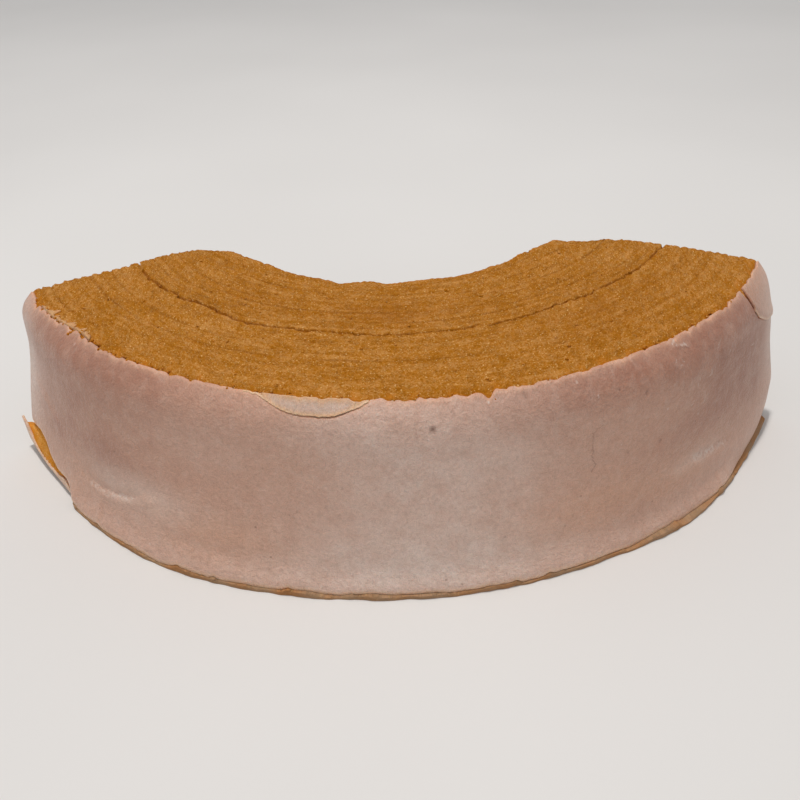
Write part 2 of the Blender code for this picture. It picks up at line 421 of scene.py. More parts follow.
glazeLook = {
    "taupe": "#CCA18B",  # the coat over the crumb, neither thick nor thin
    "mauve": "#A67661",  # where it is thin and the baked wall shows through
    "ivory": "#DEC7BA",  # where it is thick; in a few patches painted highlights on the creases and painted reflections at both ends
    "salmon": "#D4A386",  # near the cut, warmed by the crumb under it; also a painted highlight on the left crease and painted warm light along the shaded gap under the chip
    "lip": "#F0C8A6",  # its thin lower edge; along the chip's lower edge a painted highlight
    # painted shade in the pin holes and the hairline cracks
    "poreShade": "#7C5644",
    "frostAndHighlight": "#EADFD6",  # crystals and scuffs, and painted highlights along the creases
    "grain": 0.24,  # mm, sugar crystals
    "pimple": 0.75,  # mm
    "mottle": 6.0,  # mm, slow changes of thickness
    "patch": 2.6,  # mm, small ones
    "flake": 0.8,  # mm, gaps in the scuffs
    "poreSpacing": 2.9,  # mm
    "poreSize": 0.2,  # mm
    "roughness": 0.42,
    # scuffs and hairlines: angle and height in mm of both ends, half width in mm, strength; the
    # hairlines are darkened with painted shade
    "scuffsAndHighlights": [(34.3, 38.1, 33.8, 37.6, 0.25, 0.6), (33.8, 37.5, 35.9, 36.7, 0.2, 0.5),
               (33.3, 35.7, 32.6, 34.9, 0.12, 0.45), (34.3, 34.7, 33.3, 34.1, 0.13, 0.4),
               (33.9, 33.2, 33.9, 32.3, 0.1, 0.3), (39.0, 30.4, 39.2, 29.4, 0.14, 0.7),
               (39.2, 29.4, 38.4, 29.0, 0.12, 0.5), (41.7, 34.7, 40.9, 33.6, 0.12, 0.5),
               (50.4, 27.4, 52.8, 26.7, 0.13, 0.5), (36.8, 30.0, 36.6, 28.6, 0.12, 0.45),
               (36.0, 25.8, 35.2, 25.0, 0.12, 0.4), (21.4, 34.8, 21.3, 33.3, 0.12, 0.55),
               # painted highlights along the two creases
               (-41.6, 8.9, -37.6, 9.2, 0.55, 0.5), (-38.0, 9.2, -34.0, 10.9, 0.5, 0.6),
               (36.3, 12.3, 40.5, 11.3, 0.7, 0.6), (40.2, 11.4, 43.3, 10.4, 0.5, 0.4)],
    "hairlines": [(34.0, 37.0, 35.9, 36.3, 0.14, 0.35), (21.7, 29.0, 20.5, 27.9, 0.14, 0.3),
                  (20.5, 27.9, 20.5, 22.3, 0.13, 0.35), (20.5, 22.3, 20.9, 21.3, 0.14, 0.5),
                  (20.9, 21.3, 20.4, 19.9, 0.13, 0.4),
                  (27.9, 32.5, 27.8, 32.3, 0.3, 0.5), (30.0, 21.1, 30.1, 21.0, 0.3, 0.4),
                  (25.2, 21.5, 25.3, 21.4, 0.28, 0.4), (10.0, 10.6, 10.0, 10.5, 0.3, 0.4),
                  (2.4, 33.6, 2.4, 33.5, 0.6, 0.75), (12.9, 36.9, 12.9, 36.7, 0.5, 0.4)],
}


def makeGlaze(name, look):
    # Fondant of sugar and water brushed on thin and left to set. It is milky, lets the baked
    # wall tint it where it is thin, and keeps a satin gloss with fine crystals and pin holes.
    material, tree, shader = newMaterial(name)
    place = attribute(tree, "coatPlace")
    lip = attribute(tree, "coatLip", "Fac")
    tones = axes(tree, attribute(tree, "coatTone"))

    def marks(strokes):
        # the strongest of several short strokes, each fading out to its half width
        unsteady = addNode(tree, "TexNoise", {"Vector": place, "Scale": 1.4}).outputs
        unsteady = calculateVector(tree, "ADD", {0: unsteady["Color"], 1: (-0.5, -0.5, -0.5)})
        shaken = calculateVector(tree, "MULTIPLY_ADD", {0: unsteady, 1: (0.9, 0.9, 0.0), 2: place})
        strongest = None
        for angle, z, toAngle, toZ, width, strength in strokes:
            start = Vector((arcOf(angle), z, 0))
            run = Vector((arcOf(toAngle), toZ, 0)) - start
            away = calculateVector(tree, "SUBTRACT", {0: shaken, 1: start})
            share = calculateVector(tree, "DOT_PRODUCT", {0: away, 1: run / run.length_squared},
                                    "Value")
            share = calculate(tree, "MULTIPLY", share, 1.0, clamp=True)
            nearest = calculateVector(tree, "SCALE", {0: run, "Scale": share})
            gap = calculateVector(tree, "DISTANCE", {0: away, 1: nearest}, "Value")
            stroke = remap(tree, gap, 0.0, 1.6 * width, strength, 0.0)
            strongest = calculate(tree, "MAXIMUM", strongest, stroke) if strongest else stroke
        return strongest

    # the coat's patches, their borders wandering with the mottle, then small uneven ones
    mottle = noiseField(tree, place, 1 / look["mottle"], 5.0)
    grain = noiseField(tree, place, 1 / look["grain"])
    pimple = noiseField(tree, place, 1 / look["pimple"], 1.0, 0.5)
    patchy = noiseField(tree, place, 1 / look["patch"], 3.0, 0.4)
    wander = calculate(tree, "MULTIPLY_ADD", mottle, 1.6, 0.2)
    colour = linearColour(look["taupe"])
    for socket, shade in (("X", "mauve"), ("Y", "ivory"), ("Z", "salmon")):
        amount = calculate(tree, "MULTIPLY", wander, tones[socket], clamp=True)
        colour = blend(tree, amount, colour, look[shade])
    colour = blend(tree, lip, colour, look["lip"])
    for shade, slope in (("mauve", 0.7), ("ivory", -0.7)):
        amount = calculate(tree, "MULTIPLY_ADD", patchy, slope, -slope / 2, clamp=True)
        colour = blend(tree, amount, colour, look[shade])
    light = addShares(tree, 0.51, (grain, 0.6), (pimple, 0.3), (mottle, 0.12))
    colour = calculateVector(tree, "SCALE", {0: colour, "Scale": light})

    # pin holes where bubbles broke and hairlines, darkened with painted shade, then single
    # crystals, scuffs and painted highlights along the creases
    dots, cellColour = poreDots(tree, place, look, 1.6, 1.0)
    lots = axes(tree, cellColour)["X"]
    hole = calculate(tree, "MULTIPLY", dots, remap(tree, lots, 0.5, 1.0, 0.0, 0.65))
    crystal = calculate(tree, "MULTIPLY", dots, remap(tree, lots, 0.4, 0.0, 0.0, 0.5))
    flaked = remap(tree, noiseField(tree, place, 1 / look["flake"], 3.0), 0.42, 0.6, 0.0, 1.0)
    scuffAndHighlight = calculate(tree, "MULTIPLY", marks(look["scuffsAndHighlights"]), flaked)
    hairline = marks(look["hairlines"])
    for factor, shade in ((hole, "poreShade"), (crystal, "frostAndHighlight"), (hairline, "poreShade"), (scuffAndHighlight, "frostAndHighlight")):
        colour = blend(tree, factor, colour, look[shade])
    height = addShares(tree, grain, (hole, -0.8), (pimple, 1.5), (mottle, 3.0), (patchy, 1.5),
                       (hairline, -1.0), (crystal, 0.6))
    setInputs(tree, shader, {
        "Base Color": colour,
        "Roughness": remap(tree, mottle, 0.0, 1.0, look["roughness"] - 0.08,
                           look["roughness"] + 0.1),
        "Normal": bumped(tree, height, 0.16, 0.8),
        "IOR": 1.48, "Specular IOR Level": 0.45, "Subsurface Weight": 0.3,
        "Subsurface Radius": (1.0, 0.6, 0.45), "Subsurface Scale": 0.9 * mm,
        "Sheen Weight": 0.12, "Sheen Roughness": 0.35,
    })
    return material


def makeFloor():
    # Matt white laminate, rolled flat: an even pale ground with the faintest unevenness.
    material, tree, shader = newMaterial("matt white laminate")
    place = addNode(tree, "TexCoord").outputs["Object"]
    cloud = addNode(tree, "TexNoise", {"Vector": place, "Scale": 1 / (180 * mm)})
    colour = addNode(tree, "ValToRGB", {"Fac": cloud.outputs["Fac"]},
                     [(0.3, "#DCDAD8"), (0.7, "#E2E0DE")]).outputs["Color"]
    setInputs(tree, shader, {"Base Color": colour, "Roughness": 0.7, "Specular IOR Level": 0.2})
    return material


crumbMaterial = makeCrumb("cut baked sponge", crumbLook)
tornMaterial = makeCrumb("torn baked sponge", {
    **crumbLook, "mustard": "#BC7212", "golden": "#DA8E2A", "tan": "#F0B260", "orange": "#E4922E",
    "poreShadeAndSkin": "#9C5A10"})
glazeMaterial = makeGlaze("set sugar glaze", glazeLook)
chipMaterial = makeGlaze("chipped sugar glaze", {
    **glazeLook, "taupe": "#C8AA98", "mauve": "#BC9A88", "ivory": "#D0B6A6", "salmon": "#D6AA82",
    "poreSpacing": 4.0})
smearMaterial = makeGlaze("smeared sugar glaze", {
    **glazeLook, "taupe": "#CC9662", "mauve": "#C08646", "ivory": "#D8AA7E", "salmon": "#C88A48"})
print("materials made")


# Pieces

def addObject(name, data):
    made = bpy.data.objects.new(name, data)
    bpy.context.scene.collection.objects.link(made)
    return made


def addMesh(name, bm, material):
    mesh = bpy.data.meshes.new(name)
    bm.to_mesh(mesh)
    bm.free()
    mesh.materials.append(material)
    return addObject(name, mesh)


def finishPiece(name, bm, material, node, sharp=42):
    bm.normal_update()
    piece = addMesh(name, bm, material)
    piece.data.shade_smooth()
    piece.data.set_sharp_from_angle(angle=math.radians(sharp))
    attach(piece, "root")
    if node:
        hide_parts(node)
    print(name, len(piece.data.polygons), "faces")
    return piece


def dataLayers(bm, kind):
    # what the materials read: a place in mm and three tones
    return [bm.verts.layers.float_vector.new(kind + word) for word in ("Place", "Tone")]


def thicken(piece, thickness, offset):
    solidify = piece.modifiers.new("thickness", "SOLIDIFY")
    solidify.thickness = thickness * mm
    solidify.offset = offset


sponge = {
    "columns": 400,
    "rowStep": 0.36,  # mm across the rings
    # mm, heights of the rows down the walls
    "levels": [0.2, 0.5, 0.8, 1.1, 1.4, 1.8, 2.4, 3.3] + [4.4 + 1.3 * i for i in range(23)]
    + [34.3, 35.5, 36.6, 37.6],
    "crackRadius": 68.3,  # all below in mm, if no note says otherwise
    "crackPath": [(-61.3, 66.9), (-50, 67.5), (-36, 67.1), (-27, 68.6), (-18, 68.2), (1, 68.8),
                  (18, 68.5), (31, 67.6), (43, 68.4), (50, 68.9), (61.3, 69.8)],  # angle, radius
    # painted shade on darker places of the cut: angle, radius, spreads in degrees and mm, strength
    "paintedShade": [(0, 61, 14, 6, 0.4), (34, 74, 16, 12, 0.28), (0, 44, 70, 5, 0.2),
               (-33, 60, 9, 6, 0.15)],
    "crackWidth": 0.42,  # half of it
    "crackDepth": 0.52,
    "crackRows": [0.0, 0.09, 0.2, 0.33, 0.5, 0.75, 1.1],  # rows on each side of it
    # the crack's notch in the left and right cut end: radius, half width and depth
    "notches": {-1: (67.97, 0.2, 2.0), 1: (68.3, 0.3, 0.5)},
    # mm that the cut ends and the hole's wall stand out, at a radius or angle, and the spread
    "endSwells": {-1: [(1.4, 63, 7.0), (0.6, 81, 6.0)],
                  1: [(1.0, 53, 3.0), (-0.5, 58, 1.6), (0.6, 77, 9.0)]},
    "holeSwells": [(-1.0, -41, 6.5), (0.8, -15.6, 2.2), (0.5, -3.2, 2.0), (0.4, 14, 2.5),
                   (-0.7, 27, 5.0), (-1.0, 39, 6.5), (0.5, 50.5, 2.2)],
    "seamRadius": 78.9,
    "seamEnd": 9,  # the angle where it closes
    "serration": {-1: (1.1, 0.2, 67.5), 1: (0.6, 0.25, 69.5)},  # outside and inside of a radius
    # layers whose skin is plain to see: how plain, radius, from and to which angle
    "plainLayers": [(0.9, 78.9, -61, 9), (0.6, 86.0, -61, -45), (0.6, 58.6, -50, -30),
                    (0.5, 60.4, -30, -5), (0.4, 62.4, 20, 45), (0.5, 64.6, -12, 26),
                    (0.2, 56.4, 15, 60), (0.35, 52.6, -45, 45), (0.3, 74.5, -61, -30)],
    "crumb": 0.2,  # height of the lumps
    "behindCoat": 0.78,  # from the coat's face in to the crumb
    "footReach": 2.3,  # how far the foot stands out under the coat's lower edge
    "footSwells": [(1.1, 33, 7), (0.4, -6, 12)],  # and how much more at an angle, spread
    "footLoss": 0.6,  # and how much less at the right end
    "footBand": (1.6, 2.2),  # heights between which the painted shadow colour on the foot ends
    "tornAngles": (-61.5, -44.5),  # where the strip has peeled off the foot
}


def ringRows():
    # radii of the rows across the rings, closer beside the crack
    first, last = ring["holeRadius"], ring["rimRadius"]
    count = round((last - first) / sponge["rowStep"])
    radii = [first + (last - first) * i / count for i in range(count + 1)]
    middle, beside = sponge["crackRadius"], sponge["crackRows"]
    radii = [r for r in radii if abs(r - middle) > beside[-1] + 0.2]
    radii += [middle + side * step for step in beside for side in (-1, 1) if step or side > 0]
    return sorted(radii)


def crackWander(arc):
    # mm, stepped where fibres broke one by one
    steps = noise.cell(Vector((arc / 3.1, 0.5, 0.5))) - 0.5
    fine = noise.cell(Vector((arc / 1.2, 7.5, 0.5))) - 0.5
    return 0.3 * steps + 0.22 * fine


def crackOpening(arc, angle):
    # 0 closed to 1.5 wide, roughest in the left third, closed short of the left end
    opening = 0.66 + 0.22 * ease(-angle, 12, 26) + 0.45 * wave(arc / 3.6, seed=11)
    opening += 0.4 * wave(arc / 1.2, seed=5)
    return min(1.5, max(0.25, opening)) * (0.05 + 0.95 * ease(angle, -58.9, -57.4))


def layerShow(radius, angle, arc):
    # how plainly the skin between two layers shows here
    show = 0.22 + 0.45 * wave(round(layerAt(radius)) * 3.3, arc / 14, seed=6)
    show += 0.16 * (1 - ease(radius, 66, 76))
    show -= 0.3 * ease(radius, 79.5, 82) * ease(angle, -52, -42)
    for plain, middle, start, end in sponge["plainLayers"]:
        if abs(radius - middle) < 2:
            within = ease(angle, start - 4, start + 1) * (1 - ease(angle, end - 1, end + 4))
            show += plain * hill(radius, middle, 0.8) * within
    return min(1.0, max(0.0, show))


def spongePlace(radius, side, up):
    # a place in the cake from its ring (mm), its way round (-1 to 1) and its level (0 to 1)
    part = 1 if side > 0 else -1
    angle = side * cutFaces[part](radius * mm)
    arc = arcOf(angle, radius)
    atEnd = ease(abs(side), 0.97, 1.0)
    # each layer's end stands out of the cut face, and the crack notches it
    bulge = abs(math.sin(math.pi * layerAt(radius))) ** 0.7 - 0.6
    outside, inside, change = sponge["serration"][part]
    size = inside + (outside - inside) * ease(radius, change - 0.6, change + 0.6)
    size *= 0.45 + 0.55 * ease(up, 0.6, 1.0)
    fringe = size * bulge * (1.0 + 1.1 * wave(radius / 1.4, up * 9, seed=21 * part))
    fringe += hills(sponge["endSwells"][part], radius)
    middle, width, depth = sponge["notches"][part]
    fringe -= depth * hill(radius, middle, width) * ease(up, 0.55, 1.0)
    angle += side * atEnd * math.degrees(fringe / radius)

    z = up * ring["height"]
    drift = hills(ring["drift"], angle)
    crack = sponge["crackRadius"]
    out = radius + drift * hill(radius, crack, ring["driftReach"])
    path = float(np.interp(angle, *zip(*sponge["crackPath"])))
    out += (path - crack - drift) * hill(radius, crack, 2.6)
    out += crackWander(arc) * hill(radius, crack, 1.2)
    nearWall = max(0.0, 1 - (ring["rimRadius"] - radius) / ring["flareReach"]) ** 1.5
    nearHole = max(0.0, 1 - (radius - ring["holeRadius"]) / ring["holeReach"])
    if nearWall > 0:
        # behind the coat, and out to its face where the coat has broken away
        below = ring["height"] / mm - z / mm
        missing = coatMissing(angle)
        bare = ease(missing, 0.12, 0.4) * (1 - ease(below, missing, missing + 0.6))
        near = 1 - ease(below, 0.5, 2.0)
        edge = coatRadius(angle, z) / mm - sponge["behindCoat"] + 0.12 * near + 0.5 * bare
        low = coatLow(angle) / mm
        foot = (1 - ease(z / mm, low - 0.2, low + 0.25)) * (1 - ease(low, 1.9, 2.5))
        foot *= 1 - ease(abs(angle), 59, 60.5)
        reach = sponge["footReach"] + hills(sponge["footSwells"], angle)
        reach -= sponge["footLoss"] * ease(angle, *rim["footEnd"])
        edge += foot * (reach + 0.25 * wave(arc / 2.2, seed=28))
        edge += near * (0.3 * wave(arc / 1.1, seed=8) + 0.3 * wave(arc / 2.7, seed=18))
        out += nearWall * (edge - ring["rimRadius"])
    swell = hills(sponge["holeSwells"], angle) * ease(z / mm, 10, 34)
    out += nearHole * (holeWall(angle, z) / mm - ring["holeRadius"] + swell)
    return angle, out, z / mm, arc


def crumbHeight(radius, arc, z):
    # relief in mm on a cut face of the crumb
    lumps = wave(radius / 0.7, arc / 1.3, z / 0.9, 1)
    lumps += 0.7 * wave(radius / 0.42, arc / 0.7, z / 0.5, 9)
    clods = wave(radius / 2.6, arc / 4.0, z / 2.8, 4)
    phase = layerAt(radius)
    uneven = 0.35 + 0.9 * wave(round(phase) * 3.3, arc / 15, seed=6)
    ridge = -0.08 * math.cos(2 * math.pi * phase) * max(0.0, uneven)
    pits = noise.voronoi(Vector((radius / 3.1, arc / 3.6, z / 3.3)))
    pit = 0.5 * hill(pits[0][0], 0.0, 0.13) if noise.cell(pits[1][0] * 7.3) < 0.35 else 0.0
    coarse = 1 + 0.5 * ease(radius, 79, 84)
    return sponge["crumb"] * coarse * lumps + 0.09 * clods + ridge - pit


def buildSponge():
    radii = ringRows()
    rows, columns = len(radii) - 1, sponge["columns"]
    bm = bmesh.new()
    bmesh.ops.create_grid(bm, x_segments=rows, y_segments=columns, size=0.5)
    for vert in bm.verts:  # ring, way round, level
        vert.co = (radii[round((vert.co.x + 0.5) * rows)], 2 * vert.co.y, 1.0)
    border = [edge for edge in bm.edges if edge.is_boundary]
    for level in reversed([0.0] + sponge["levels"]):
        made = bmesh.ops.extrude_edge_only(bm, edges=border)["geom"]
        for vert in (g for g in made if isinstance(g, bmesh.types.BMVert)):
            vert.co.z = level * mm / ring["height"]
        border = [g for g in made if isinstance(g, bmesh.types.BMEdge) and g.is_boundary]
    underside = bmesh.ops.contextual_create(bm, geom=border)["faces"]

    places, tones = dataLayers(bm, "crumb")
    footShadows = bm.verts.layers.float.new("crumbFootShadow")
    relief = {}
    first, last = ring["holeRadius"], ring["rimRadius"]
    for vert in bm.verts:
        radius, side, up = vert.co
        angle, out, z, arc = spongePlace(radius, side, up)
        vert[places] = (radius, arc, z)
        top = ease(up, 0.985, 1.0)
        rise = crumbHeight(radius, arc, z)
        atHole = 1 - ease(radius, first, first + 0.5)
        atWall = ease(radius, last - 0.3, last)
        inner = atHole * (1 - top)
        inBand = atWall * (1 - ease(z, *sponge["footBand"]))
        baked = 0.62 + 0.5 * wave(arc / 5, z / 4, seed=91) + 0.3 * wave(arc / 1.3, z / 1.1, seed=93)
        rise *= (1 - 0.3 * inner) * (1 - 0.85 * atWall) * ease(up, 0.0, 0.02)
        # the crack, the seam, and the outer edge of the cut worn down
        opening = crackOpening(arc, angle)
        off = abs(radius - sponge["crackRadius"]) / (sponge["crackWidth"] * opening)
        groove = sponge["crackDepth"] * min(1.0, opening) * max(0.0, 1 - off) ** 0.55
        dip = (0.2 + 0.25 * wave(arc / 6, seed=17)) * (1 - ease(angle, sponge["seamEnd"], 13))
        groove += dip * hill(radius, sponge["seamRadius"] + 0.3 * wave(arc / 4, seed=2), 0.35)
        worn = 0.15 * hill(radius, last, 0.6) + coatMissing(angle) * 0.5 * hill(radius, last, 0.5)
        relief[vert] = (rise, -top * (groove + worn))
        start, end = sponge["tornAngles"]
        torn = atWall * ease(angle, start - 1, start) * (1 - ease(angle, end, end + 1))
        orange = max(top * hill(radius, last, 1.3) * (0.1 + 0.9 * wave(arc / 2.1, seed=13)),
                     0.3 * top * hill(radius, first, 0.5),
                     0.6 * atWall * (1 - top), torn * (1 - ease(z, 9, 11)))
        # painted shade on the darker places of the cut and in the split, the roller's baked skin on
        # the hole's wall, and the skin tone under the painted shadow colour on the foot
        shade = sum(amount * hill(angle, middle, reach) * hill(radius, level, spread)
                    for middle, level, reach, spread, amount in sponge["paintedShade"])
        skinAndShadeAmount = max(min(1.0, baked) * inner,
                    shade * (0.7 + 0.6 * wave(radius / 3, arc / 9, seed=95)),
                    0.9 * top * max(0.0, 1 - 0.7 * off) * min(1.0, opening), 0.75 * inBand)
        vert[tones] = (min(1.0, max(0.0, orange)), skinAndShadeAmount, layerShow(radius, angle, arc))
        # painted shadow colour on the crumb's foot, the shaded band under the coat's lower edge
        vert[footShadows] = inBand * (0.9 + 0.6 * wave(arc / 5, seed=29))
        vert.co = ringPoint(angle, out * mm, z * mm)
    bm.normal_update()
    for vert, (rise, drop) in relief.items():
        vert.co += vert.normal * rise * mm + Vector((0, 0, drop * mm))
        vert.co.z = max(0.0, vert.co.z)
    bmesh.ops.triangulate(bm, faces=underside)
    bmesh.ops.recalc_face_normals(bm, faces=bm.faces)
    finishPiece("crumb", bm, crumbMaterial, "sponge", 75)


coat = {
    "columns": 560,
    "rows": 68,
    "thickness": 0.75,  # mm
    "wavy": 0.1,  # mm, slow unevenness of the coat
    "footFlare": 1.3,  # mm, how far its lower edge stands out
    "tornSag": [(0.4, -49.5, 3.0)],  # mm the torn edge hangs lower, angle, spread
    "nicks": [-40.0, -26.9, -22.2, -13.7, 11.0, 14.8, 32.1, 41.3],  # angles along the foot
    # patches: angle, height, their spreads in degrees and mm, and how strong; a few are painted
    # light, marked below
    "patches": {
        "mauve": [(-45, 26, 16, 15, 0.55), (-37, 37.5, 17, 6, 0.65), (-50, 15.5, 6, 5, 0.35),
                  (-52, 35, 5, 6, 0.25), (48, 28, 12, 13, 1.0), (25, 36.5, 18, 5, 0.9),
                  (36, 19, 9, 5, 0.3), (26, 6, 7, 5, 0.25), (-38, 17.5, 5, 4, 0.4),
                  (53, 17, 5, 5, 0.35), (44, 35, 7, 4, 0.3)],
        # ivory at -33 and 36.5 near 12 mm: painted highlights on the creases; at -60 and 60:
        # painted reflections along both ends
        "ivory": [(1.5, 26, 13, 14, 0.65), (1, 8, 15, 8, 0.7), (-33, 12.5, 8, 4, 0.8),
                  (0, 3, 48, 5, 0.3), (-24, 28, 7, 6, 0.15), (36.5, 12.4, 5, 1.8, 0.45),
                  (60, 22, 3, 12, 0.5), (-60, 22, 3.5, 15, 0.7), (-7, 33, 5, 5, 0.2),
                  (10, 23, 4, 6, 0.15)],
        # salmon at -33, 12 mm: painted highlight on the left crease
        "salmon": [(-44, 9.5, 7, 5, 0.35), (-22, 9, 8, 5, 0.45), (21, 12, 8, 6, 0.5),
                   (34, 11, 7, 5, 0.3), (-12, 26, 6, 5, 0.15), (-33, 12, 4, 3, 0.4)],
    },
    # creases: both ends as angle and height, spread in mm, height of the bulge below
    "folds": [(-44.0, 9.4, -40.2, 9.1, 0.9, 0.2), (-40.2, 9.1, -36.7, 9.8, 1.0, 0.36),
              (-36.7, 9.8, -33.4, 11.6, 1.1, 0.3), (-33.4, 11.6, -30.0, 14.6, 1.3, 0.16),
              (32.0, 12.9, 37.5, 12.3, 1.3, 0.25), (37.5, 12.3, 43.5, 10.6, 1.4, 0.4),
              (-30, 6.5, -20, 5.2, 1.6, 0.2), (-57, 22, -50, 19, 1.8, 0.2)],
    # dents and pimples as angle, height, spread in mm and height in mm
    "marks": [(2.4, 33.6, 0.5, -0.4), (12.9, 36.8, 0.5, -0.35), (19.7, 15.0, 0.8, 0.2),
              (2.2, 6.6, 0.6, 0.16), (27.9, 32.4, 0.4, -0.25), (32.6, 35.5, 0.6, 0.25),
              (34.3, 34.9, 0.5, -0.25), (39.0, 30.2, 0.6, 0.3), (41.8, 32.6, 0.5, 0.25),
              (41.2, 35.9, 0.6, 0.25), (21.3, 33.6, 0.5, -0.2), (36.8, 31.8, 1.4, 0.14),
              (30.5, 28.6, 0.6, 0.2), (37.5, 24.8, 0.6, 0.2), (34.9, 37.2, 0.9, 0.25)],
}


def coatRelief(angle, z):
    # mm, out of the wall
    arc, up = arcOf(angle), z / mm
    height = coat["wavy"] * wave(arc / 13, up / 9, seed=31)
    height += 0.05 * wave(arc / 4.0, up / 3.4, seed=33) + 0.022 * wave(arc / 1.6, up / 1.3, seed=35)
    here = Vector((arc, up))
    for startAngle, startUp, endAngle, endUp, spread, size in coat["folds"]:
        start = Vector((arcOf(startAngle), startUp))
        run = Vector((arcOf(endAngle), endUp)) - start
        share = (here - start).dot(run) / run.length_squared
        if -0.3 < share < 1.3:
            above = (run.x * (here.y - start.y) - run.y * (here.x - start.x)) / run.length / spread
            fade = ease(share, -0.3, 0.2) * (1 - ease(share, 0.8, 1.3))
            height -= size * fade * 1.6 * (above + 0.3) * math.exp(-(above + 0.3) ** 2)
    for middle, level, spread, size in coat["marks"]:
        away = math.hypot(arcOf(angle - middle), up - level)
        if away < 4 * spread:
            height += size * hill(away, 0, spread)
    return height


def coatTones(angle, z):
    # how mauve, ivory and salmon the coat is here, painted highlights and reflections included
    shades = {shade: sum(strength * hill(angle, middle, spread) * hill(z / mm, level, reach)
                         for middle, level, spread, reach, strength in patches)
              for shade, patches in coat["patches"].items()}
    below = (ring["height"] - z) / mm - coatMissing(angle)
    shades["salmon"] += (0.8 + 0.6 * wave(arcOf(angle) / 3.0, seed=71)) * hill(below, 0, 0.55)
    # painted warm light: a pale salmon tint along the shaded gap under the chip
    if chip["from"] < angle < chip["to"]:
        shades["salmon"] += hill((z - chipLow(angle)) / mm, 0, 0.4)
    return Vector([min(1.0, shade) for shade in shades.values()])


def buildSheet(name, node, shape, material):
    # a curved sheet of glaze from its columns, rows, edges and outer radius
    bm = bmesh.new()
    bmesh.ops.create_grid(bm, x_segments=shape["columns"], y_segments=shape["rows"], size=0.5)
    places, tones = dataLayers(bm, "coat")
    lips = bm.verts.layers.float.new("coatLip")
    for vert in bm.verts:
        angle = shape["from"] + (vert.co.x + 0.5) * (shape["to"] - shape["from"])
        t = shape["spread"](vert.co.y + 0.5) if "spread" in shape else vert.co.y + 0.5
        low, high = shape["low"](angle), shape["high"](angle)
        z = low + t * (high - low)
        vert[places] = (arcOf(angle), z / mm, 0.0)
        vert[tones] = coatTones(angle, z)
        vert[lips] = shape["lip"]((z - low) / mm)
        vert.co = ringPoint(angle, shape["radius"](angle, z, t), z)
    bmesh.ops.recalc_face_normals(bm, faces=bm.faces)
    middle = bm.faces[len(bm.faces) // 2]
    if middle.normal.dot(heading(angleOf(middle.calc_center_median()))) < 0:
        bmesh.ops.reverse_faces(bm, faces=bm.faces)
    thicken(finishPiece(name, bm, material, node), shape["thickness"], -1.0)


def coatLow(angle):
    arc = arcOf(angle, 97)
    low = coatSheet["low"](angle) / mm
    low += 0.16 * wave(arc / 3, seed=41) + 0.1 * wave(arc / 1.1, seed=43)
    low += sum(0.6 * hill(angle, nick, 0.45) for nick in coat["nicks"])
    low -= hills(coat["tornSag"], angle)
    return max(0.35, low) * mm


def footFlare(angle, z):
    low = coatLow(angle) / mm
    flare = coat["footFlare"] * (1 - 0.8 * ease(low, 1.7, 4.5))
    return flare * (1 - ease(angle, *rim["footEnd"])) * hill(z / mm - low, 0, 2.6)


chip = {
    "columns": 150,
    "rows": 20,
    "thickness": 0.6,  # mm
    "from": chipSheet["from"] - 0.9,  # degrees
    "to": chipSheet["to"],
    "lift": 0.1,  # mm its edge is higher than the solid's
    "leftLift": 0.9,  # more of that at its left end
}


def chipLow(angle):
    # the chip's lower edge, rising to the cut at both ends
    ends = ease(angle, chip["from"], chip["from"] + 2.4)
    ends *= 1 - ease(angle, chip["to"] - 1.5, chip["to"])
    top = coatTop(angle)
    lift = chip["lift"] + chip["leftLift"] * (1 - ease(angle, -17, -12.5))
    return top - max(0.05 * mm, top - chipSheet["low"](angle) - lift * mm) * ends


def coatHigh(angle):
    if chip["from"] < angle < chip["to"]:  # a dark line under the chip, wider to the right
        return chipLow(angle) - (0.02 + 0.2 * ease(angle, -15, -9)) * mm
    sheet, upper = coatSheet["high"](angle), coatTop(angle)
    return upper if sheet > ring["height"] - mm else min(upper, sheet)  # along the scale


def buildCoat():
    buildSheet("glazeCoat", "glaze", {
        **coatSheet, **coat, "low": coatLow, "high": coatHigh,
        "spread": lambda t: 0.5 - 0.5 * math.cos(math.pi * t) * (0.55 + 0.45 * (2 * t - 1) ** 2),
        "radius": lambda angle, z, t: coatRadius(angle, z)
        + (coatRelief(angle, z) + footFlare(angle, z)) * mm,
        "lip": lambda above: 0.95 * hill(above, 0.12, 0.42),
    }, glazeMaterial)


def buildChip():
    buildSheet("glazeChip", "glaze_chip", {
        **chip, "low": chipLow,
        "high": lambda angle: max(ring["height"] - 0.6 * coatMissing(angle) * mm,
                                  chipLow(angle) + 0.02 * mm),
        "radius": lambda angle, z, t: coatRadius(angle, z)
        + (0.03 + 0.2 * (1 - t) ** 2 + 0.5 * coatRelief(angle, z)) * mm,
        # painted highlight along the chip's lower edge
        "lip": lambda above: 0.4 * hill(above, 0, 0.25),
    }, chipMaterial)


scale = {
    "columns": 90,
    "rows": 70,
    "thickness": 0.6,  # mm
    "lift": 0.34,  # mm its foot stands off the coat
}


def scaleLow(angle):
    # a dark gap beside its left edge, closed along its rounded foot
    return scaleSheet["low"](angle) - (0.1 + 0.5 * ease(angle, 53, 56)) * mm


def scaleRadius(angle, z, t):
    off = 0.08 + scale["lift"] * hill((z - scaleLow(angle)) / mm, 1.2, 1.6)
    return coatRadius(angle, z) + (off + 0.6 * coatRelief(angle, z)) * mm


def buildScale():
    buildSheet("glazeScale", "glaze_scale", {
        **scaleSheet, **scale, "low": scaleLow, "high": coatTop, "radius": scaleRadius,
        "lip": lambda above: 0.5 * hill(above, 0.1, 0.5) + 0.12,
    }, glazeMaterial)


